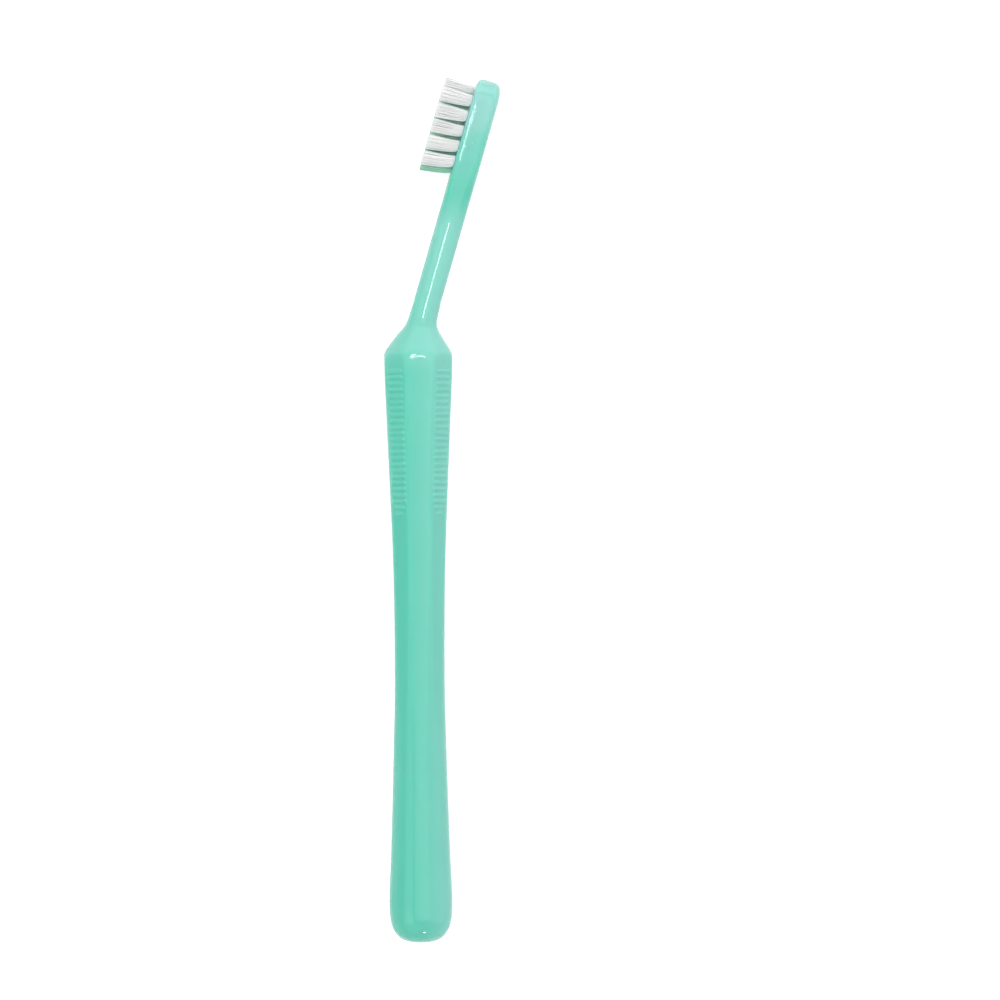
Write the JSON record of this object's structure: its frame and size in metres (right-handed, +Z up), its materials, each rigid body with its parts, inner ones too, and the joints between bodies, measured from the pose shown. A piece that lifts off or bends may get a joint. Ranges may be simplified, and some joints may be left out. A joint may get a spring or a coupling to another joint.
{
  "type": "manual toothbrush",
  "caption": "Manual toothbrush with a one-piece moulded handle, faceted grip with finger ribs, round neck set at an angle, and anchored bristle tufts in a slim head.",
  "frame": {"origin": "centre of the bounding box on the plane that the brush lies on", "axes": "+Y along the grip from the butt to the head, +X to the side that the head leans to, so the bristles point to -X, +Z up from the surface that the brush lies on"},
  "size_m": [0.0262, 0.1908, 0.0152],
  "materials": {
    "handle_plastic": "polished, slightly see-through mint green",
    "bristles": "white nylon filaments, satin",
    "anchor_metal": "plain rolled strip"
  },
  "bodies": {
    "root": {"handle": "handle_plastic", "tuft_near_1": "bristles", "tuft_near_2": "bristles", "tuft_near_3": "bristles", "tuft_near_4": "bristles", "tuft_near_5": "bristles", "tuft_middle_1": "bristles", "tuft_middle_2": "bristles", "tuft_middle_3": "bristles", "tuft_middle_4": "bristles", "tuft_middle_5": "bristles", "tuft_middle_6": "bristles", "tuft_far_1": "bristles", "tuft_far_2": "bristles", "tuft_far_3": "bristles", "tuft_far_4": "bristles", "tuft_far_5": "bristles", "anchor_near_1": "anchor_metal", "anchor_near_2": "anchor_metal", "anchor_near_3": "anchor_metal", "anchor_near_4": "anchor_metal", "anchor_near_5": "anchor_metal", "anchor_middle_1": "anchor_metal", "anchor_middle_2": "anchor_metal", "anchor_middle_3": "anchor_metal", "anchor_middle_4": "anchor_metal", "anchor_middle_5": "anchor_metal", "anchor_middle_6": "anchor_metal", "anchor_far_1": "anchor_metal", "anchor_far_2": "anchor_metal", "anchor_far_3": "anchor_metal", "anchor_far_4": "anchor_metal", "anchor_far_5": "anchor_metal"}
  },
  "joints": []
}
